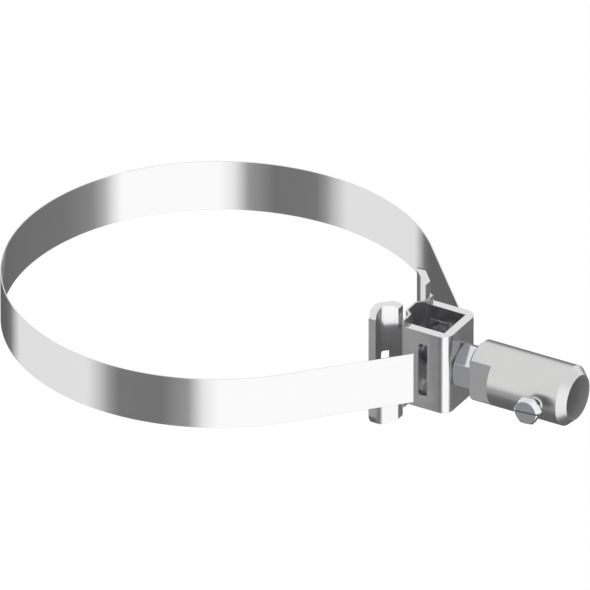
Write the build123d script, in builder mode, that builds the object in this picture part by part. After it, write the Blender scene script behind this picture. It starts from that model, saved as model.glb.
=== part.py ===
from build123d import *
import math
import os

# Band clamp for a round pole, with a socket that holds a rod at right angles to the pole.
# Millimetres. The pole's axis is Z and passes through the origin, at half the strap's width.
# The clamp's head and socket point along +X.

# Strap
loop_diameter = 195.0
strap_width = 25.0
strap_thickness = 0.5
strap_bend_radius = 0.6
strap_spread = 21.3  # from the middle plane to the bend where the strap turns towards its slot
tail_clearance = 0.6  # from a tail's cut end to the pressure plate

# Pressure plate, a thin sheet folded into a hat
plate_offset = 4.6  # from the loop's circle out to the shoulders
plate_thickness = 1.0
plate_height = 45.0
plate_half_width = 13.3
crown_depth = 3.3
crown_half_width = 4.1
crown_slope_width = 2.9

# Saddle wings, two bent and rounded strips that bear on the pole
wing_thickness = 3.3
wing_height = 61.2
wing_tip_radius = 5.2
wing_end_radius = 3.0
wing_bend_radius = 1.5
wing_angle = 40.0  # between a wing's plate and the clamp's axis
wing_tip_half_width = 23.6
wing_flange_depth = 9.7  # from the wings' cut ends back to the flanges' pole side
wing_end_gap = 1.5  # from the tall part's end to the pressure plate
wing_end_half_width = 9.9
wing_foot_height = 36.0
window_width = 4.5
window_height = 15.0
window_offset = 2.9  # from the bend along the plate to the window's middle
window_corner_radius = 1.0

# Housing, a U of thick strip that is open at the top, the bottom and towards the pole
housing_height = 39.4
housing_depth = 22.7
housing_wall = 4.0
housing_corner_radius = 5.0
housing_tip_chamfer = 1.8
slot_width = 4.0
slot_clearance = 1.0  # from the slot's edge nearer the pole to the strap
slot_end_clearance = 0.5
slot_setback = 8.1  # from the legs' ends to the slots

# M12 stud with its two nuts
stud_diameter = 12.0
stud_length = 50.0
stud_chamfer = 1.2
stud_tip_diameter = 7.0
stud_tip_length = 3.2
stud_tip_chamfer = 0.5
stud_tip_gap = 0.3
stud_hole_clearance = 0.5
thread_clearance = 0.1
nut_across_flats = 19.0
nut_face_diameter = 20.8
nut_side_clearance = 0.1
captive_nut_height = 6.0
lock_nut_height = 9.0
nut_chamfer_angle = 30.0

# Rod socket, turned from bar
socket_diameter = 28.0
socket_length = 50.0
socket_gap = 0.2
socket_bore_diameter = 20.5
socket_bore_depth = 32.0
socket_thread_depth = 16.0
socket_mouth_chamfer_length = 4.2
socket_mouth_chamfer_width = 3.5
socket_back_chamfer = 0.8
flat_across = 20.0
flat_length = 11.0

# M5 clamping screw with a slotted hexagon head
screw_diameter = 5.0
screw_across_flats = 11.0
screw_face_diameter = 10.7
screw_head_height = 4.0
screw_turn = 4.0  # how far the head stands turned from a corner on the clamp's axis, in degrees
screw_lift = 5.6  # the bare shank between the socket and the head
screw_tip_gap = 0.3
screw_inset = 13.7  # from the socket's mouth to the screw's axis
screw_slot_width = 0.8
screw_slot_depth = 1.4
screw_sink_width = 0.7

# Places along the clamp's axis, from the pole outwards
loop_radius = loop_diameter / 2
plate_x = loop_radius + plate_offset
plate_back_x = plate_x + plate_thickness
crown_back_x = plate_back_x - crown_depth
wing_end_x = plate_x - wing_end_gap
wing_flange_x = wing_end_x - wing_flange_depth
housing_back_x = plate_back_x + housing_depth
slot_x = plate_back_x + slot_setback
strap_x = slot_x + slot_clearance
socket_x = housing_back_x + lock_nut_height + socket_gap
socket_mouth_x = socket_x + socket_length
screw_x = socket_mouth_x - screw_inset

housing_inside = nut_across_flats + 2 * nut_side_clearance
housing_outside = housing_inside + 2 * housing_wall

os.makedirs("parts", exist_ok=True)


def finish(piece, name):
    piece.part.label = name
    export_step(piece.part, f"parts/{name}.step")


# Tension strap: the loop, two straight runs, and the ends that go in through the slots and lie
# folded flat against the housing's walls. The outline is the side that faces the pole.
bend_distance = math.hypot(strap_x, strap_spread)
bend_azimuth = math.degrees(math.atan2(strap_spread, strap_x))
touch_azimuth = bend_azimuth + math.degrees(math.acos(loop_radius / bend_distance))
touch_point = (
    loop_radius * math.cos(math.radians(touch_azimuth)),
    loop_radius * math.sin(math.radians(touch_azimuth)),
)
tail_end_x = plate_back_x + tail_clearance

with BuildPart() as tension_strap:
    with BuildSketch(Plane.XY.offset(-strap_width / 2)):
        with BuildLine():
            with BuildLine() as end_run:
                Polyline(
                    touch_point,
                    (strap_x, strap_spread),
                    (strap_x, housing_inside / 2),
                    (tail_end_x, housing_inside / 2),
                )
                corners = end_run.vertices().group_by(Axis.X)[-1]
                fillet(corners, strap_bend_radius)
                mirror(about=Plane.XZ)
            CenterArc((0, 0), loop_radius, touch_azimuth, 360 - 2 * touch_azimuth)
            offset(amount=strap_thickness, side=Side.RIGHT)
        make_face()
    extrude(amount=strap_width)
finish(tension_strap, "tension_strap")


# Pressure plate: the shoulders carry the wings, and the crown between them takes the stud's push.
with BuildPart() as pressure_plate:
    with BuildSketch(Plane.XY.offset(-plate_height / 2)):
        with BuildLine():
            crown_x = plate_x - crown_depth
            slope_half_width = crown_half_width + crown_slope_width
            Polyline(
                (plate_x, plate_half_width),
                (plate_x, slope_half_width),
                (crown_x, crown_half_width),
                (crown_x, -crown_half_width),
                (plate_x, -slope_half_width),
                (plate_x, -plate_half_width),
            )
            offset(amount=plate_thickness, side=Side.LEFT)
        make_face()
    extrude(amount=plate_height)
finish(pressure_plate, "pressure_plate")


# Saddle wings: a flange that lies against the pole, a slanted plate with a window, and a lower foot
# that runs on to the pressure plate. The outline is the side that faces away from the pole.
slant = math.radians(wing_angle)
flange_front_x = wing_flange_x + wing_thickness
end_front_half_width = wing_end_half_width + wing_thickness / math.cos(slant)
bend_half_width = end_front_half_width + (wing_end_x - flange_front_x) * math.tan(slant)
overshoot = wing_thickness * math.sin(slant)
foot_front_half_width = bend_half_width - (plate_x - flange_front_x) * math.tan(slant)
wing_width = wing_tip_half_width - wing_end_half_width
foot_cut_height = (wing_height - wing_foot_height) / 2

with BuildPart() as saddle_wing_right:
    with BuildSketch(Plane.XY.offset(-wing_height / 2)):
        with BuildLine() as wing_outline:
            Polyline(
                (flange_front_x, wing_tip_half_width),
                (flange_front_x, bend_half_width),
                (plate_x + overshoot, foot_front_half_width - overshoot * math.tan(slant)),
            )
            bend = wing_outline.vertices().sort_by(Axis.Y)[1]
            fillet(bend, wing_bend_radius)
            offset(amount=wing_thickness, side=Side.RIGHT)
        make_face()
    extrude(amount=wing_height)
    # The corners are round as seen along the clamp's axis.
    with BuildSketch(Plane.YZ.offset(wing_flange_x)) as wing_front:
        with Locations((wing_end_half_width + wing_width / 2, 0)):
            Rectangle(wing_width, wing_height)
        fillet(wing_front.vertices().group_by(Axis.X)[0], wing_end_radius)
        fillet(wing_front.vertices().group_by(Axis.X)[-1], wing_tip_radius)
        with Locations((wing_end_half_width, 0)):
            Rectangle(wing_width, wing_foot_height)
    extrude(amount=plate_x - wing_flange_x, mode=Mode.INTERSECT)
    # Only the foot reaches the pressure plate.
    with BuildSketch(Plane.YZ.offset(wing_end_x)):
        with Locations((0, wing_height / 2), (0, -wing_height / 2)):
            Rectangle(2 * wing_tip_half_width, 2 * foot_cut_height)
    extrude(amount=plate_x - wing_end_x, mode=Mode.SUBTRACT)
    window_plane = Plane(
        origin=(
            flange_front_x + window_offset * math.cos(slant),
            bend_half_width - window_offset * math.sin(slant),
            0,
        ),
        x_dir=(math.cos(slant), -math.sin(slant), 0),
        z_dir=(math.sin(slant), math.cos(slant), 0),
    )
    with BuildSketch(window_plane):
        RectangleRounded(window_width, window_height, window_corner_radius)
    extrude(amount=2 * wing_thickness, both=True, mode=Mode.SUBTRACT)
finish(saddle_wing_right, "saddle_wing_right")

with BuildPart() as saddle_wing_left:
    mirror(saddle_wing_right.part, about=Plane.XZ)
finish(saddle_wing_left, "saddle_wing_left")


# Housing: its legs press on the shoulders, and the stud passes through its back.
slot_height = strap_width + 2 * slot_end_clearance

with BuildPart() as clamp_housing:
    with BuildSketch(Plane.XY.offset(-housing_height / 2)) as housing_outline:
        with Locations((plate_back_x, 0)):
            Rectangle(housing_depth, housing_outside, align=(Align.MIN, Align.CENTER))
        fillet(housing_outline.vertices().group_by(Axis.X)[-1], housing_corner_radius)
        with Locations((housing_back_x - housing_wall, 0)):
            Rectangle(housing_depth, housing_inside, align=(Align.MAX, Align.CENTER), mode=Mode.SUBTRACT)
    extrude(amount=housing_height)
    with BuildSketch(Plane.XZ):
        with Locations((slot_x + slot_width / 2, 0)):
            Rectangle(slot_width, slot_height)
    extrude(amount=housing_outside, both=True, mode=Mode.SUBTRACT)
    with BuildSketch(Plane.YZ.offset(housing_back_x)):
        Circle(stud_diameter / 2 + stud_hole_clearance)
    extrude(amount=-2 * housing_wall, mode=Mode.SUBTRACT)
    tips = clamp_housing.edges().filter_by(Axis.Y).group_by(Axis.X)[0]
    chamfer(tips, housing_tip_chamfer)
finish(clamp_housing, "clamp_housing")


# Stud: its narrow tip stands just behind the crown, and its other end is screwed into the socket.
stud_x = crown_back_x + stud_tip_gap
stud_body_x = stud_x + stud_tip_length

with BuildPart() as tension_stud:
    with BuildSketch(Plane.YZ.offset(stud_body_x)):
        Circle(stud_diameter / 2)
    extrude(amount=stud_length - stud_tip_length)
    chamfer(tension_stud.edges().filter_by(GeomType.CIRCLE), stud_chamfer)
    with BuildSketch(Plane.YZ.offset(stud_x)):
        Circle(stud_tip_diameter / 2)
    extrude(amount=stud_tip_length)
    chamfer(tension_stud.edges().filter_by(GeomType.CIRCLE).group_by(Axis.X)[0], stud_tip_chamfer)
finish(tension_stud, "tension_stud")


# A nut on the clamp's axis with its corners up and down, chamfered on both faces.
def hexagon_nut(start_x, height):
    corner_radius = nut_across_flats / math.sqrt(3)
    face_radius = nut_face_diameter / 2
    fall = (corner_radius - face_radius) * math.tan(math.radians(nut_chamfer_angle))
    with BuildPart() as nut:
        with BuildSketch(Plane.YZ.offset(start_x)):
            RegularPolygon(corner_radius, 6, rotation=30)
            Circle(stud_diameter / 2 + thread_clearance, mode=Mode.SUBTRACT)
        extrude(amount=height)
        with BuildSketch(Plane.XZ):
            with BuildLine():
                Polyline(
                    (start_x, 0),
                    (start_x, face_radius),
                    (start_x + fall, corner_radius),
                    (start_x + height - fall, corner_radius),
                    (start_x + height, face_radius),
                    (start_x + height, 0),
                    close=True,
                )
            make_face()
        revolve(axis=Axis.X, mode=Mode.INTERSECT)
    return nut


captive_nut = hexagon_nut(housing_back_x - housing_wall - captive_nut_height, captive_nut_height)
finish(captive_nut, "captive_nut")

lock_nut = hexagon_nut(housing_back_x, lock_nut_height)
finish(lock_nut, "lock_nut")


# Rod socket: two spanner flats, a threaded hole for the stud and a blind bore for the rod.
socket_radius = socket_diameter / 2
bore_radius = socket_bore_diameter / 2
screw_radius = screw_diameter / 2

with BuildPart() as rod_socket:
    with BuildSketch(Plane.XZ):
        with BuildLine():
            Polyline(
                (socket_x, 0),
                (socket_x, socket_radius - socket_back_chamfer),
                (socket_x + socket_back_chamfer, socket_radius),
                (socket_mouth_x - socket_mouth_chamfer_length, socket_radius),
                (socket_mouth_x, socket_radius - socket_mouth_chamfer_width),
                (socket_mouth_x, bore_radius),
                (socket_mouth_x - socket_bore_depth, bore_radius),
                (socket_mouth_x - socket_bore_depth, 0),
                close=True,
            )
        make_face()
    revolve(axis=Axis.X)
    with BuildSketch(Plane.YZ.offset(socket_x)):
        Rectangle(2 * socket_diameter, 2 * socket_diameter)
        Rectangle(flat_across, 2 * socket_diameter, mode=Mode.SUBTRACT)
    extrude(amount=flat_length, mode=Mode.SUBTRACT)
    with BuildSketch(Plane.YZ.offset(socket_x)):
        Circle(stud_diameter / 2 + thread_clearance)
    extrude(amount=socket_thread_depth, mode=Mode.SUBTRACT)
    with Locations(Plane(origin=(screw_x, -socket_radius, 0), x_dir=(1, 0, 0), z_dir=(0, -1, 0))):
        CounterSinkHole(
            radius=screw_radius + thread_clearance,
            counter_sink_radius=screw_radius + screw_sink_width,
            depth=socket_radius,
            counter_sink_angle=90,
        )
finish(rod_socket, "rod_socket")


# Clamping screw, backed off so that the bore is clear.
screw_seat_y = -(socket_radius + screw_lift)
screw_top_y = screw_seat_y - screw_head_height
screw_tip_y = -(bore_radius + screw_tip_gap)
screw_corner_radius = screw_across_flats / math.sqrt(3)
screw_face_radius = screw_face_diameter / 2
screw_fall = (screw_corner_radius - screw_face_radius) * math.tan(math.radians(nut_chamfer_angle))

with BuildPart() as clamping_screw:
    with BuildSketch(Plane.XZ.offset(-screw_seat_y)):
        with Locations((screw_x, 0)):
            RegularPolygon(screw_corner_radius, 6, rotation=screw_turn)
    extrude(amount=screw_head_height)
    with BuildSketch(Plane.XY):
        with BuildLine():
            Polyline(
                (screw_x, screw_seat_y),
                (screw_x + screw_corner_radius, screw_seat_y),
                (screw_x + screw_corner_radius, screw_top_y + screw_fall),
                (screw_x + screw_face_radius, screw_top_y),
                (screw_x, screw_top_y),
                close=True,
            )
        make_face()
    screw_axis = Axis((screw_x, 0, 0), (0, 1, 0))
    revolve(axis=screw_axis, mode=Mode.INTERSECT)
    with BuildSketch(Plane.XZ.offset(-screw_tip_y)):
        with Locations((screw_x, 0)):
            Circle(screw_radius)
    extrude(amount=screw_tip_y - screw_seat_y)
    with BuildSketch(Plane.XZ.offset(-screw_top_y)):
        with Locations((screw_x, 0)):
            Rectangle(2 * screw_corner_radius, screw_slot_width, rotation=screw_turn)
    extrude(amount=-screw_slot_depth, mode=Mode.SUBTRACT)
finish(clamping_screw, "clamping_screw")
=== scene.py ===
import math

import bmesh
import bpy
from mathutils import Matrix, Vector


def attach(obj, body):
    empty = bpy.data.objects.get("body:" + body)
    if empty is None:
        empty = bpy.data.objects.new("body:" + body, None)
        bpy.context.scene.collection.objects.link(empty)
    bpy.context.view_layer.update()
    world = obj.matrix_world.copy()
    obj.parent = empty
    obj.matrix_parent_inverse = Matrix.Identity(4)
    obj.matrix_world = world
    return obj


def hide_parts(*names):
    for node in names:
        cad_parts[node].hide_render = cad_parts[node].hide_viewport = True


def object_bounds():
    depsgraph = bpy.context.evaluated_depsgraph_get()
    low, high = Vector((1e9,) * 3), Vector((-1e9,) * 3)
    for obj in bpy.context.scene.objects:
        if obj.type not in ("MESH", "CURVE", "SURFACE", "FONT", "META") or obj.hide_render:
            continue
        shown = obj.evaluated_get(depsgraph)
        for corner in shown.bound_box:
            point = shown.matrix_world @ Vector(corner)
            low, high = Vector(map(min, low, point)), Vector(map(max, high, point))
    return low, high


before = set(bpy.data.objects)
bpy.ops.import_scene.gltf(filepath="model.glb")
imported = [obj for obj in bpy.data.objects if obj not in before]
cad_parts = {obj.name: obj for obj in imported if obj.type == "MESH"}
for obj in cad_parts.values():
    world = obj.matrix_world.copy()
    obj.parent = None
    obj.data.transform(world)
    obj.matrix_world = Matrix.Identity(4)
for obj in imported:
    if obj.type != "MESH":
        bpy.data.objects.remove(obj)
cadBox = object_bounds()
scene = bpy.context.scene
mm = 0.001


# Camera: a very long lens, because the photograph is a parallel projection
cameraSet = {
    "azimuth": 30.0,  # degrees
    "elevation": 30.05,
    "lens": 1700.0,
    "sensor": 36.0,
    "framePixels": 590,
    "pixelsPerMm": 2.23,
    "poleAxisPixel": (218.9, 293.6),  # where the loop's centre shows
}


def addCamera(c):
    turn = math.radians(c["azimuth"])
    lift = math.radians(c["elevation"])
    back = Vector((math.sin(turn) * math.cos(lift), -math.cos(turn) * math.cos(lift), math.sin(lift)))
    right = Vector((math.cos(turn), math.sin(turn), 0))
    up = back.cross(right)
    middle = c["framePixels"] / 2
    across = (middle - c["poleAxisPixel"][0]) / c["pixelsPerMm"] * mm
    upwards = (c["poleAxisPixel"][1] - middle) / c["pixelsPerMm"] * mm
    frameWidth = c["framePixels"] / c["pixelsPerMm"] * mm
    distance = frameWidth * c["lens"] / c["sensor"]
    data = bpy.data.cameras.new("camera")
    data.lens = c["lens"]
    data.sensor_width = c["sensor"]
    data.clip_end = 2 * distance
    camera = bpy.data.objects.new("camera", data)
    camera.location = right * across + up * upwards + back * distance
    camera.rotation_euler = (-back).to_track_quat("-Z", "Y").to_euler()
    scene.collection.objects.link(camera)
    scene.camera = camera


addCamera(cameraSet)
scene.view_settings.view_transform = "Standard"
print("camera set")


# Node helpers
noiseRange = (0.3, 0.7)  # where nearly all of a noise's values lie


def newMaterial(name):
    material = bpy.data.materials.new(name)
    material.use_nodes = True
    return material, material.node_tree, material.node_tree.nodes["Principled BSDF"]


def feed(tree, socket, value):
    if isinstance(value, (int, float)):
        socket.default_value = value
    else:
        tree.links.new(value, socket)


def calculated(tree, operation, *values):
    node = tree.nodes.new("ShaderNodeMath")
    node.operation = operation
    for socket, value in zip(node.inputs, values):
        feed(tree, socket, value)
    return node.outputs[0]


def ranged(tree, value, target, source=noiseRange, blend="LINEAR"):
    node = tree.nodes.new("ShaderNodeMapRange")
    node.interpolation_type = blend
    for place, number in zip(("From Min", "From Max", "To Min", "To Max"), (*source, *target)):
        node.inputs[place].default_value = number
    tree.links.new(value, node.inputs["Value"])
    return node.outputs["Result"]


# A Mix node has its share at 0, its numbers at 2 and 3 and its colours at 6 and 7.
def blended(tree, share, first, second):
    mix = tree.nodes.new("ShaderNodeMix")
    for place, value in ((0, share), (2, first), (3, second)):
        feed(tree, mix.inputs[place], value)
    return mix.outputs[0]


def tinted(tree, value, dark, light):
    mix = tree.nodes.new("ShaderNodeMix")
    mix.data_type = "RGBA"
    mix.inputs[6].default_value = (*dark, 1)
    mix.inputs[7].default_value = (*light, 1)
    tree.links.new(value, mix.inputs[0])
    return mix.outputs[2]


def objectNoise(tree, stretch, scale, detail):
    place = tree.nodes.new("ShaderNodeTexCoord")
    mapping = tree.nodes.new("ShaderNodeMapping")
    mapping.inputs["Scale"].default_value = stretch
    noise = tree.nodes.new("ShaderNodeTexNoise")
    noise.inputs["Scale"].default_value = scale
    noise.inputs["Detail"].default_value = detail
    tree.links.new(place.outputs["Object"], mapping.inputs["Vector"])
    tree.links.new(mapping.outputs["Vector"], noise.inputs["Vector"])
    return noise.outputs["Fac"]


def bumped(tree, shader, height, strength, distance):
    bump = tree.nodes.new("ShaderNodeBump")
    bump.inputs["Strength"].default_value = strength
    bump.inputs["Distance"].default_value = distance
    tree.links.new(height, bump.inputs["Height"])
    tree.links.new(bump.outputs["Normal"], shader.inputs["Normal"])


# Studio: a white room with a pale floor and a softbox, in metres
studio = {
    "floorDrop": 0.25,
    "floorSize": 30.0,
    "floorColor": (0.95, 0.95, 0.95, 1),
    "floorRoughness": 0.9,
    "lampPlace": (0.4, -0.7, 1.9),
    "lampSize": 1.4,
    "lampLevel": 1.0,
    "worldColor": (1, 1, 1, 1),
    "worldLevel": 1.0,
}
# What the metal mirrors is a globe of soft light and dark cards. The rings go from the ground up,
# each with the elevation where it begins, and its stops are an azimuth and a level.
globe = {
    "radius": 6.0,
    "meridians": 96,
    "parallels": 48,
    "edgeBlur": 4.0,  # degrees up and down from a ring's lower edge
    "rings": (
        (-90, ((0, 0.09), (360, 0.09))),
        (-57, ((0, 0.58), (6, 0.26), (20, 0.133), (148, 0.1), (250, 0.1), (272, 0.133), (284, 0.28),
               (292, 0.81), (300, 1.0), (354, 1.0), (360, 0.58))),
        (-40, ((0, 0.69), (4, 0.435), (12, 0.216), (30, 0.148), (148, 0.103), (157, 0.163), (170, 0.755),
               (227, 0.765), (236, 0.48), (240, 0.29), (246, 0.153), (270, 0.139), (284, 0.28), (292, 0.81),
               (300, 1.0), (354, 1.0), (360, 0.69))),
        (-18, ((0, 1.0), (78, 1.0), (92, 0.11), (146, 0.103), (160, 0.76), (250, 0.77), (264, 1.0),
               (360, 1.0))),
        (13, ((0, 1.0), (14, 0.77), (280, 0.77), (294, 1.0), (360, 1.0))),
        (27, ((0, 0.77), (360, 0.77))),
    ),
    "laterLevels": ((2, 0.25), (3, 0.07)),  # the even level that the second or a later mirroring shows
}


def addStagePiece(bm, name, material):
    mesh = bpy.data.meshes.new(name)
    bm.to_mesh(mesh)
    bm.free()
    mesh.materials.append(material)
    thing = bpy.data.objects.new(name, mesh)
    scene.collection.objects.link(thing)
    return thing


def addFloor(s):
    bm = bmesh.new()
    bmesh.ops.create_grid(bm, x_segments=1, y_segments=1, size=s["floorSize"] / 2)
    bmesh.ops.translate(bm, verts=bm.verts, vec=(0, 0, cadBox[0].z - s["floorDrop"]))
    material, tree, shader = newMaterial("paleFloor")
    shader.inputs["Base Color"].default_value = s["floorColor"]
    shader.inputs["Roughness"].default_value = s["floorRoughness"]
    floor = addStagePiece(bm, "floor", material)
    floor.visible_glossy = False


def ringRamp(tree, turn, stops):
    ramp = tree.nodes.new("ShaderNodeValToRGB")
    elements = ramp.color_ramp.elements
    while len(elements) < len(stops):
        elements.new(0.5)
    for element, (azimuth, shade) in zip(elements, stops):
        element.position = azimuth / 360
        element.color = (shade, shade, shade, 1)
    tree.links.new(turn, ramp.inputs[0])
    return ramp.outputs["Color"]


def globeMaterial(g):
    material, tree, shader = newMaterial("globe")
    tree.nodes.remove(shader)
    place = tree.nodes.new("ShaderNodeTexCoord")
    parts = tree.nodes.new("ShaderNodeSeparateXYZ")
    tree.links.new(place.outputs["Object"], parts.inputs[0])
    turn = calculated(tree, "ARCTAN2", parts.outputs["Y"], parts.outputs["X"])
    turn = calculated(tree, "DIVIDE", turn, math.tau)
    turn = calculated(tree, "FRACT", turn)
    height = calculated(tree, "DIVIDE", parts.outputs["Z"], g["radius"])
    level = ringRamp(tree, turn, g["rings"][0][1])
    for elevation, stops in g["rings"][1:]:
        edge = [math.sin(math.radians(elevation + side * g["edgeBlur"])) for side in (-1, 1)]
        share = ranged(tree, height, (0, 1), edge, "SMOOTHSTEP")
        level = blended(tree, share, level, ringRamp(tree, turn, stops))
    path = tree.nodes.new("ShaderNodeLightPath")
    for mirroring, laterLevel in g["laterLevels"]:
        later = calculated(tree, "GREATER_THAN", path.outputs["Glossy Depth"], mirroring - 0.5)
        level = blended(tree, later, level, laterLevel)
    glow = tree.nodes.new("ShaderNodeEmission")
    tree.links.new(level, glow.inputs["Strength"])
    tree.links.new(glow.outputs["Emission"], tree.nodes["Material Output"].inputs["Surface"])
    material.cycles.emission_sampling = "NONE"
    return material


# Only mirroring metal sees the globe.
def addGlobe(g):
    bm = bmesh.new()
    bmesh.ops.create_uvsphere(bm, u_segments=g["meridians"], v_segments=g["parallels"], radius=g["radius"])
    room = addStagePiece(bm, "globe", globeMaterial(g))
    room.visible_camera = False
    room.visible_diffuse = False
    room.visible_transmission = False
    room.visible_volume_scatter = False
    room.visible_shadow = False


def addSoftbox(s):
    data = bpy.data.lights.new("softbox", "AREA")
    data.size = s["lampSize"]
    data.energy = s["lampLevel"] * math.pi * s["lampSize"] ** 2
    lamp = bpy.data.objects.new("softbox", data)
    lamp.location = s["lampPlace"]
    lamp.rotation_euler = (-Vector(s["lampPlace"])).to_track_quat("-Z", "Y").to_euler()
    lamp.visible_glossy = False  # the metal mirrors the globe
    scene.collection.objects.link(lamp)


def addWorld(s):
    world = bpy.data.worlds.new("whiteRoom")
    world.use_nodes = True
    background = world.node_tree.nodes["Background"]
    background.inputs["Color"].default_value = s["worldColor"]
    background.inputs["Strength"].default_value = s["worldLevel"]
    world.cycles.sampling_method = "NONE"
    scene.world = world


addFloor(studio)
addGlobe(globe)
addSoftbox(studio)
addWorld(studio)
print("studio set")


# Finishes: a noise takes each from dark to light and from smooth to rough. A noise is its stretch along X,
# Y and Z, its scale and its detail.
finishes = {
    "strap": {
        "metallic": 0.96,
        "dark": (0.95, 0.95, 0.955), "light": (0.965, 0.965, 0.968), "smooth": 0.045, "rough": 0.085,
        "streaks": ((6, 6, 900), 1.0, 3.0),
    },
    "formed": {
        "metallic": 0.96,
        "dark": (0.92, 0.92, 0.93), "light": (0.96, 0.96, 0.97), "smooth": 0.13, "rough": 0.17,
        "streaks": ((60, 60, 700), 1.0, 3.0),
        "clouds": ((1, 1, 1), 160.0, 3.0),
    },
    "fastener": {
        "metallic": 0.96,
        "dark": (0.90, 0.91, 0.945), "light": (0.94, 0.95, 0.98), "smooth": 0.06, "rough": 0.10,
        "clouds": ((1, 1, 1), 400.0, 3.0),
    },
    "socket": {
        "metallic": 0.96,
        "dark": (0.81, 0.81, 0.805), "light": (0.825, 0.825, 0.82), "smooth": 0.28, "rough": 0.31,
        "rings": ((2600, 8, 8), 1.0, 2.0),
        "clouds": ((1, 1, 1), 220.0, 3.0),
        "bumpStrength": 0.004,
        "bumpHeight": 0.01 * mm,
    },
    "bore": {
        "metallic": 0.75,
        "dark": (0.66, 0.66, 0.66), "light": (0.70, 0.70, 0.70), "smooth": 0.42, "rough": 0.5,
        "rings": ((900, 8, 8), 1.0, 2.0),
    },
}


def metalLook(tree, shader, f, tint, roughness):
    shader.inputs["Metallic"].default_value = f["metallic"]
    tree.links.new(tinted(tree, tint, f["dark"], f["light"]), shader.inputs["Base Color"])
    tree.links.new(ranged(tree, roughness, (f["smooth"], f["rough"])), shader.inputs["Roughness"])


# A rolled sheet's faint streaks run along the strip, so they change fast only across it.
def strapFinish(f):
    material, tree, shader = newMaterial("rolledStrapSteel")
    streaks = objectNoise(tree, *f["streaks"])
    metalLook(tree, shader, f, streaks, streaks)
    return material


def formedFinish(f):
    material, tree, shader = newMaterial("formedSteel")
    metalLook(tree, shader, f, objectNoise(tree, *f["streaks"]), objectNoise(tree, *f["clouds"]))
    return material


def fastenerFinish(f):
    material, tree, shader = newMaterial("machinedSteel")
    clouds = objectNoise(tree, *f["clouds"])
    metalLook(tree, shader, f, clouds, clouds)
    return material


# Turning marks are rings, so they change fast only along the socket.
def socketFinish(f):
    material, tree, shader = newMaterial("turnedAluminium")
    rings = objectNoise(tree, *f["rings"])
    metalLook(tree, shader, f, objectNoise(tree, *f["clouds"]), rings)
    bumped(tree, shader, rings, f["bumpStrength"], f["bumpHeight"])
    return material


# Drilled walls are duller than turned ones.
def boreFinish(f):
    material, tree, shader = newMaterial("boredAluminium")
    rings = objectNoise(tree, *f["rings"])
    metalLook(tree, shader, f, rings, rings)
    return material


slotMaterials = {
    "strap_steel": [strapFinish(finishes["strap"])],
    "formed_steel": [formedFinish(finishes["formed"])],
    "fastener_steel": [fastenerFinish(finishes["fastener"])],
    "socket_aluminium": [socketFinish(finishes["socket"]), boreFinish(finishes["bore"])],
}
print("finishes made")


# Mesh helpers
meshing = {
    "tolerance": 0.01 * mm,  # what lies nearer than this is in one place
    "weld": 0.002 * mm,
    "weldAfterCut": 0.001 * mm,
    "onPlane": 0.0001 * mm,
    "flatAngle": math.radians(0.3),  # faces that meet at less than this become one
    "sharpAngle": math.radians(28.0),  # edges that turn by more than this are sharp and get rounded
    "edgeSegments": 2,
}
past = 1 * mm  # how far a cutter or a joined form reaches past the face that it meets


def together(*gaps):
    return sum(abs(gap) for gap in gaps) < meshing["tolerance"]


def moved(geometry):
    return [g for g in geometry if isinstance(g, bmesh.types.BMVert)]


def rectangle(across, along):
    (left, right), (low, high) = across, along
    return (left, low), (right, low), (right, high), (left, high)


# A flat outline's corners, drawn up along an axis: 0 is X, 1 is Y, 2 is Z.
def prism(corners, low, high, axis=2):
    bm = bmesh.new()
    points = []
    for across, along in corners:
        place = [across, along]
        place.insert(axis, low)
        points.append(bm.verts.new(place))
    bm.faces.new(points)
    rise = bmesh.ops.extrude_face_region(bm, geom=bm.faces[:])["geom"]
    way = [0, 0, 0]
    way[axis] = high - low
    bmesh.ops.translate(bm, verts=moved(rise), vec=way)
    bmesh.ops.recalc_face_normals(bm, faces=bm.faces)
    return bm


# A line becomes a sheet that stands on it.
def raised(bm, height):
    rise = bmesh.ops.extrude_edge_only(bm, edges=bm.edges[:])["geom"]
    bmesh.ops.translate(bm, verts=moved(rise), vec=(0, 0, height))
    bmesh.ops.recalc_face_normals(bm, faces=bm.faces)


def thickened(bm, thickness):
    bmesh.ops.solidify(bm, geom=bm.faces[:], thickness=-thickness)
    bmesh.ops.recalc_face_normals(bm, faces=bm.faces)


# The chosen edges, which all turn by one angle, get a radius.
def rounded(bm, radius, segments, chosen):
    edges = [edge for edge in bm.edges if chosen(edge.verts[0].co, edge.verts[1].co)]
    turn = edges[0].calc_face_angle(0)
    bmesh.ops.bevel(
        bm, geom=edges, offset=radius * math.tan(turn / 2), offset_type="OFFSET", segments=segments,
        profile=0.5, affect="EDGES", material=-1,
    )


# A profile in the XY plane, turned about an axis
def turned(profile, steps, centre=(0, 0, 0), axis=(1, 0, 0)):
    bm = bmesh.new()
    points = [bm.verts.new((x, y, 0)) for x, y in profile]
    edges = [bm.edges.new(pair) for pair in zip(points, points[1:])]
    bmesh.ops.spin(
        bm, geom=points + edges, cent=centre, axis=axis, angle=math.tau, steps=steps, use_merge=True
    )
    bmesh.ops.remove_doubles(bm, verts=bm.verts, dist=meshing["weld"])
    bmesh.ops.recalc_face_normals(bm, faces=bm.faces)
    return bm


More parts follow.
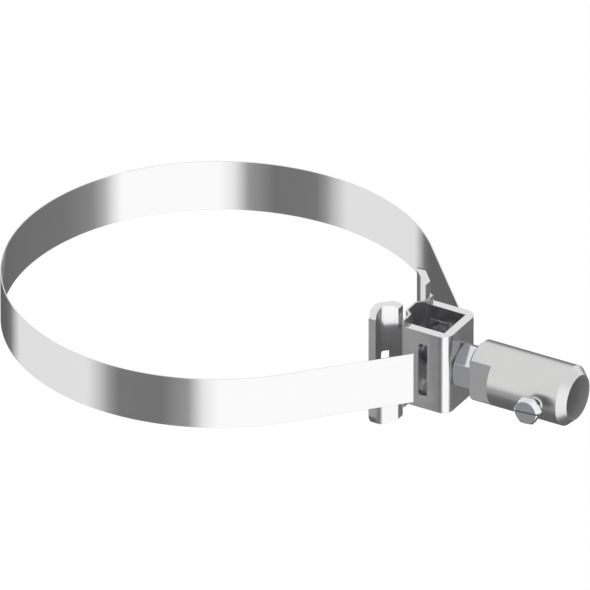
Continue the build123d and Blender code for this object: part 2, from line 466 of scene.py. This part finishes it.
def combined(bm, other, operation):
    things = []
    for part in (bm, other):
        mesh = bpy.data.meshes.new("work")
        part.to_mesh(mesh)
        part.free()
        things.append(bpy.data.objects.new("work", mesh))
        scene.collection.objects.link(things[-1])
    boolean = things[0].modifiers.new("work", "BOOLEAN")
    boolean.object = things[1]
    boolean.operation = operation
    boolean.solver = "EXACT"
    shaped = things[0].evaluated_get(bpy.context.evaluated_depsgraph_get())
    result = bmesh.new()
    result.from_mesh(shaped.to_mesh())
    shaped.to_mesh_clear()
    for thing in things:
        mesh = thing.data
        bpy.data.objects.remove(thing)
        bpy.data.meshes.remove(mesh)
    bmesh.ops.remove_doubles(result, verts=result.verts, dist=meshing["weldAfterCut"])
    bmesh.ops.dissolve_limit(result, angle_limit=meshing["flatAngle"], verts=result.verts, edges=result.edges)
    return result


def cutOff(bm, place, direction):
    bmesh.ops.bisect_plane(
        bm, geom=bm.verts[:] + bm.edges[:] + bm.faces[:], dist=meshing["onPlane"], plane_co=place,
        plane_no=direction, clear_outer=True,
    )


def closed(bm):
    bmesh.ops.holes_fill(bm, edges=[edge for edge in bm.edges if edge.is_boundary], sides=0)
    bmesh.ops.recalc_face_normals(bm, faces=bm.faces)


# A copy of a solid with its triangles joined into whole faces, so that its edges can be rounded
def solidCopy(node):
    bm = bmesh.new()
    bm.from_mesh(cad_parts[node].data)
    bmesh.ops.remove_doubles(bm, verts=bm.verts, dist=meshing["weld"])
    bmesh.ops.dissolve_limit(bm, angle_limit=meshing["flatAngle"], verts=bm.verts, edges=bm.edges)
    return bm


def addPiece(bm, name, node, slot, edgeRadius=0.0):
    for face in bm.faces:
        face.smooth = True
    for edge in bm.edges:
        if len(edge.link_faces) == 2:
            edge.smooth = edge.calc_face_angle(0) < meshing["sharpAngle"]
    mesh = bpy.data.meshes.new(name)
    bm.to_mesh(mesh)
    bm.free()
    for material in slotMaterials[slot]:
        mesh.materials.append(material)
    piece = bpy.data.objects.new(name, mesh)
    scene.collection.objects.link(piece)
    if edgeRadius:
        bevel = piece.modifiers.new("edges", "BEVEL")
        bevel.width = edgeRadius
        bevel.segments = meshing["edgeSegments"]
        bevel.limit_method = "ANGLE"
        bevel.angle_limit = meshing["sharpAngle"]
        bevel.harden_normals = True
        bevel.use_clamp_overlap = True
    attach(piece, "root")
    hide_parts(node)
    print("made", name)


# Tension strap
strap = {
    "loopRadius": 97.5 * mm,
    "halfWidth": 12.5 * mm,
    "thickness": 0.5 * mm,
    "bendX": 112.5 * mm,  # the turned ends' side that faces the pole
    "bendSpread": 21.3 * mm,  # from the middle plane to the bend towards a slot
    "tailSpread": 9.6 * mm,
    "tailX": 103.7 * mm,
    "bendRadius": 0.35 * mm,
    "bendSegments": 8,
    "loopSteps": 360,
    "edgeRadius": 0.1 * mm,
}


# A straight run leaves the loop where it touches it, and bends into the slot and then back to the pole.
def addStrap(s):
    bends = ((s["bendX"], s["bendSpread"]), (s["bendX"], s["tailSpread"]))
    distance = math.hypot(s["bendX"], s["bendSpread"])
    touch = math.atan2(s["bendSpread"], s["bendX"]) + math.acos(s["loopRadius"] / distance)
    start = Vector((s["loopRadius"] * math.cos(touch), s["loopRadius"] * math.sin(touch), -s["halfWidth"]))
    bm = bmesh.new()
    first = bm.verts.new(start)
    bmesh.ops.spin(
        bm, geom=[first], axis=(0, 0, 1), cent=(0, 0, 0), angle=math.tau - 2 * touch, steps=s["loopSteps"]
    )
    finish = start * Vector((1, -1, 1))
    last = min(bm.verts, key=lambda v: (v.co - finish).length)
    for end, side in ((first, 1), (last, -1)):
        for x, y in (*bends, (s["tailX"], s["tailSpread"])):
            corner = bm.verts.new((x, side * y, -s["halfWidth"]))
            bm.edges.new((end, corner))
            end = corner
    raised(bm, 2 * s["halfWidth"])
    for x, y in bends:
        rounded(
            bm, s["bendRadius"], s["bendSegments"],
            lambda a, b: together(a.x - x, abs(a.y) - y, (a.xy - b.xy).length),
        )
    thickened(bm, s["thickness"])
    addPiece(bm, "tensionStrap", "tension_strap", "strap_steel", s["edgeRadius"])


addStrap(strap)


# Pressure plate
plate = {
    "edgeRadius": 0.12 * mm,
}
addPiece(
    solidCopy("pressure_plate"), "pressurePlate", "pressure_plate", "formed_steel", plate["edgeRadius"]
)


# Saddle wings
wing = {
    # the side that faces the pole, from the tip to the plate, with its two bends
    "outline": (
        (90.9 * mm, 23.6 * mm), (90.9 * mm, 18.3 * mm), (97.0 * mm, 12.46 * mm), (106.0 * mm, 7.06 * mm)
    ),
    "bendRadii": (8.3 * mm, 5.0 * mm),
    "thickness": 3.6 * mm,
    "tipY": 23.6 * mm,
    "endY": 9.4 * mm,
    "endX": 100.9 * mm,
    "roundingX": 102.3 * mm,
    "plateX": 102.1 * mm,
    "halfHeight": 30.6 * mm,
    "footHalfHeight": 18.0 * mm,
    "tipRadius": 6.3 * mm,
    "endRadius": 6.0 * mm,
    "roundSegments": 14,
    "windowPlace": (96.4 * mm, 17.7 * mm, 0),
    "windowAngle": math.radians(43.0),
    "windowWidth": 4.5 * mm,
    "windowHeight": 15.0 * mm,
    "windowRadius": 1.0 * mm,
    "windowSegments": 6,
    "edgeRadius": 0.35 * mm,
}


def bentStrip(w):
    bm = bmesh.new()
    line = [bm.verts.new((x, y, -w["halfHeight"])) for x, y in w["outline"]]
    for pair in zip(line, line[1:]):
        bm.edges.new(pair)
    raised(bm, 2 * w["halfHeight"])
    for place, radius in zip(w["outline"][1:3], w["bendRadii"]):
        corner = Vector(place)
        rounded(
            bm, radius, w["roundSegments"],
            lambda a, b: together((a.xy - corner).length, (b.xy - corner).length),
        )
    thickened(bm, w["thickness"])
    return bm


# What the strip keeps: a tall part with its four corners rounded, and a lower foot that reaches the plate.
def wingLimits(w):
    lowX = w["outline"][0][0] - past
    whole = (-w["halfHeight"], w["halfHeight"])
    tall = prism(rectangle((w["endY"], w["tipY"]), whole), lowX, w["endX"], axis=0)
    rounded(
        tall, w["tipRadius"], w["roundSegments"],
        lambda a, b: together(a.y - w["tipY"], b.y - w["tipY"], a.z - b.z),
    )
    ends = prism(rectangle((lowX, w["roundingX"]), whole), 0, 2 * w["tipY"], axis=1)
    rounded(
        ends, w["endRadius"], w["roundSegments"],
        lambda a, b: together(a.x - w["roundingX"], b.x - w["roundingX"], a.z - b.z),
    )
    foot = prism(
        rectangle((0, w["tipY"]), (-w["footHalfHeight"], w["footHalfHeight"])), lowX, w["plateX"], axis=0
    )
    return combined(combined(tall, ends, "INTERSECT"), foot, "UNION")


def wingWindow(w):
    halfWide, halfHigh = w["windowWidth"] / 2, w["windowHeight"] / 2
    reach = 3 * w["thickness"]
    window = prism(rectangle((-halfWide, halfWide), (-halfHigh, halfHigh)), -reach, reach, axis=1)
    rounded(
        window, w["windowRadius"], w["windowSegments"],
        lambda a, b: together(a.x - b.x, a.z - b.z),
    )
    bmesh.ops.rotate(window, verts=window.verts, matrix=Matrix.Rotation(-w["windowAngle"], 3, "Z"))
    bmesh.ops.translate(window, verts=window.verts, vec=w["windowPlace"])
    return window


def addWings(w):
    shape = combined(bentStrip(w), wingLimits(w), "INTERSECT")
    shape = combined(shape, wingWindow(w), "DIFFERENCE")
    for name, node, side in (
        ("saddleWingRight", "saddle_wing_right", 1), ("saddleWingLeft", "saddle_wing_left", -1)
    ):
        bm = shape.copy()
        bmesh.ops.scale(bm, verts=bm.verts, vec=(1, side, 1))
        bmesh.ops.recalc_face_normals(bm, faces=bm.faces)
        addPiece(bm, name, node, "formed_steel", w["edgeRadius"])
    shape.free()


addWings(wing)


# Housing
housing = {
    "frontX": 103.1 * mm,
    "backX": 125.8 * mm,
    "outside": 13.6 * mm,
    "inside": 9.6 * mm,
    "wall": 4.0 * mm,
    "halfHeight": 19.7 * mm,
    "cornerRadius": 5.0 * mm,
    "cornerSegments": 14,
    "tipChamfer": 0.3 * mm,
    "slotFrontX": 111.2 * mm,
    "slotBackX": 115.2 * mm,
    "slotHalfHeight": 13.0 * mm,
    "holeRadius": 6.5 * mm,
    "holeSteps": 64,
    "edgeRadius": 0.3 * mm,
}


def addHousing(h):
    front, back, outside, inside = h["frontX"], h["backX"], h["outside"], h["inside"]
    innerX = back - h["wall"]
    bm = prism(
        ((front, outside), (front, inside), (innerX, inside), (innerX, -inside), (front, -inside),
         (front, -outside), (back, -outside), (back, outside)),
        -h["halfHeight"], h["halfHeight"],
    )
    rounded(
        bm, h["cornerRadius"], h["cornerSegments"],
        lambda a, b: together(a.x - back, abs(a.y) - outside, (a.xy - b.xy).length),
    )
    rounded(bm, h["tipChamfer"], 1, lambda a, b: together(a.x - front, b.x - front, a.z - b.z))
    slots = prism(
        rectangle((h["slotFrontX"], h["slotBackX"]), (-h["slotHalfHeight"], h["slotHalfHeight"])),
        -2 * outside, 2 * outside, axis=1,
    )
    bm = combined(bm, slots, "DIFFERENCE")
    hole = turned(
        ((innerX - past, 0), (innerX - past, h["holeRadius"]), (back + past, h["holeRadius"]),
         (back + past, 0)),
        h["holeSteps"],
    )
    bm = combined(bm, hole, "DIFFERENCE")
    addPiece(bm, "clampHousing", "clamp_housing", "formed_steel", h["edgeRadius"])


addHousing(housing)


# Threads: one turn's profile goes round as a helix, and the ends are cut flat and tapered.
thread = {
    "steps": 48,
    # shares of the pitch
    "depth": 0.613,
    "rootWidth": 0.25,
    "crestWidth": 0.125,
}


def threaded(radius, pitch, start, end, taper):
    root = radius - thread["depth"] * pitch
    crest = (1 + thread["rootWidth"]) / 2
    halfCrest = thread["crestWidth"] / 2
    profile = (
        (0, root), (thread["rootWidth"], root), (crest - halfCrest, radius), (crest + halfCrest, radius),
        (1, root),
    )
    bm = bmesh.new()
    points = [bm.verts.new((start + (place - 1) * pitch, reach, 0)) for place, reach in profile]
    edges = [bm.edges.new(pair) for pair in zip(points, points[1:])]
    turns = math.ceil((end - start) / pitch) + 1
    bmesh.ops.spin(
        bm, geom=points + edges, cent=(0, 0, 0), axis=(1, 0, 0), dvec=(pitch / thread["steps"], 0, 0),
        angle=math.tau * turns, steps=thread["steps"] * turns, use_merge=False,
    )
    bmesh.ops.remove_doubles(bm, verts=bm.verts, dist=meshing["weld"])
    cutOff(bm, (start, 0, 0), (-1, 0, 0))
    cutOff(bm, (end, 0, 0), (1, 0, 0))
    for vert in bm.verts:
        limit = radius - taper + min(vert.co.x - start, end - vert.co.x)
        reach = vert.co.yz.length
        if reach > limit:
            vert.co.y *= limit / reach
            vert.co.z *= limit / reach
    closed(bm)
    return bm


# Tension stud
stud = {
    "radius": 6.0 * mm,
    "pitch": 1.75 * mm,
    "startX": 103.3 * mm,
    "endX": 150.1 * mm,
    "taper": 1.2 * mm,
    "tipX": 100.1 * mm,
    "tipRadius": 3.5 * mm,
    "tipChamfer": 0.5 * mm,
    "tipSteps": 48,
}


def addStud(s):
    bm = threaded(s["radius"], s["pitch"], s["startX"], s["endX"], s["taper"])
    tip = turned(
        ((s["tipX"], 0), (s["tipX"], s["tipRadius"] - s["tipChamfer"]),
         (s["tipX"] + s["tipChamfer"], s["tipRadius"]), (s["startX"] + past, s["tipRadius"]),
         (s["startX"] + past, 0)),
        s["tipSteps"],
    )
    addPiece(combined(bm, tip, "UNION"), "tensionStud", "tension_stud", "fastener_steel")


addStud(stud)


# Captive nut
captiveNut = {
    "edgeRadius": 0.12 * mm,
}
addPiece(
    solidCopy("captive_nut"), "captiveNut", "captive_nut", "fastener_steel", captiveNut["edgeRadius"]
)


# Lock nut: its corners are turned down by a cone at the housing's side.
lockNut = {
    "startX": housing["backX"],
    "coneEndX": 136.0 * mm,
    "faceRadius": 9.2 * mm,
    "slope": math.radians(30.0),
    "coneWidth": 3.0 * mm,  # from the face's edge outwards
    "coneSteps": 96,
    "edgeRadius": 0.1 * mm,
}


def addLockNut(n):
    lowX = n["startX"] - meshing["tolerance"]
    reach = n["faceRadius"] + n["coneWidth"]
    cone = turned(
        ((lowX, 0), (lowX, n["faceRadius"]), (n["startX"] + n["coneWidth"] * math.tan(n["slope"]), reach),
         (n["coneEndX"], reach), (n["coneEndX"], 0)),
        n["coneSteps"],
    )
    bm = combined(solidCopy("lock_nut"), cone, "INTERSECT")
    addPiece(bm, "lockNut", "lock_nut", "fastener_steel", n["edgeRadius"])


addLockNut(lockNut)


# Rod socket
socket = {
    "backX": 135.0 * mm,
    "mouthX": 185.0 * mm,
    "radius": 14.0 * mm,
    "steps": 144,
    "backChamfer": 0.8 * mm,
    "mouthChamferLength": 3.7 * mm,
    "mouthChamferWidth": 3.5 * mm,
    "boreRadius": 10.25 * mm,
    "boreX": 153.0 * mm,
    "threadRadius": 6.1 * mm,
    "threadX": 151.0 * mm,
    "flatY": 10.0 * mm,
    "flatLength": 11.0 * mm,
    "screwX": 171.3 * mm,
    "holeRadius": 2.7 * mm,
    "holeSteps": 48,
    "collarRadius": 3.5 * mm,
    "collarHeight": 0.8 * mm,
    "collarChamfer": 0.5 * mm,
    "edgeRadius": 0.15 * mm,
}


def socketBody(s):
    back, mouth = s["backX"], s["mouthX"]
    bm = turned(
        ((s["threadX"], 0), (s["threadX"], s["threadRadius"]), (back, s["threadRadius"]),
         (back, s["radius"] - s["backChamfer"]), (back + s["backChamfer"], s["radius"]),
         (mouth - s["mouthChamferLength"], s["radius"]), (mouth, s["radius"] - s["mouthChamferWidth"]),
         (mouth, s["boreRadius"]), (s["boreX"], s["boreRadius"]), (s["boreX"], 0)),
        s["steps"],
    )
    outside = 2 * s["radius"]
    for side in (1, -1):
        flat = prism(
            rectangle((back - past, back + s["flatLength"]), sorted((side * s["flatY"], side * outside))),
            -outside, outside,
        )
        bm = combined(bm, flat, "DIFFERENCE")
    return bm


# The clamping screw's hole and the collar round it are turned about a line along Y.
def withScrewHole(bm, s):
    x, collar, hole, chamfer = s["screwX"], s["collarRadius"], s["holeRadius"], s["collarChamfer"]
    outer, inner = -s["radius"] - s["collarHeight"], -s["boreRadius"]
    around = {"steps": s["holeSteps"], "centre": (x, 0, 0), "axis": (0, 1, 0)}
    ring = turned(
        ((x, outer), (x + collar - chamfer, outer), (x + collar, outer + chamfer),
         (x + collar, inner - past), (x, inner - past)),
        **around,
    )
    drill = turned(
        ((x, outer - past), (x + hole, outer - past), (x + hole, inner + 2 * past), (x, inner + 2 * past)),
        **around,
    )
    return combined(combined(bm, ring, "UNION"), drill, "DIFFERENCE")


# The walls of the bore and of the holes take the slot's second material.
def addSocket(s):
    bm = withScrewHole(socketBody(s), s)
    for face in bm.faces:
        if max(vert.co.yz.length for vert in face.verts) < s["boreRadius"] + meshing["tolerance"]:
            face.material_index = 1
    addPiece(bm, "rodSocket", "rod_socket", "socket_aluminium", s["edgeRadius"])


addSocket(socket)


# Clamping screw
screw = {
    "seatY": -19.6 * mm,
    "tipY": -10.55 * mm,
    "radius": 2.5 * mm,
    "pitch": 0.8 * mm,
    "taper": 0.6 * mm,
    "edgeRadius": 0.1 * mm,
}


def addScrew(s):
    head = solidCopy("clamping_screw")
    cutOff(head, (0, s["seatY"], 0), (0, 1, 0))
    closed(head)
    addPiece(head, "clampingScrewHead", "clamping_screw", "fastener_steel", s["edgeRadius"])
    shank = threaded(s["radius"], s["pitch"], s["seatY"] - past, s["tipY"], s["taper"])
    quarter = Matrix.Rotation(math.radians(90), 3, "Z")
    bmesh.ops.rotate(shank, verts=shank.verts, cent=(0, 0, 0), matrix=quarter)
    bmesh.ops.translate(shank, verts=shank.verts, vec=(socket["screwX"], 0, 0))
    addPiece(shank, "clampingScrewShank", "clamping_screw", "fastener_steel")


addScrew(screw)
print("pieces made")
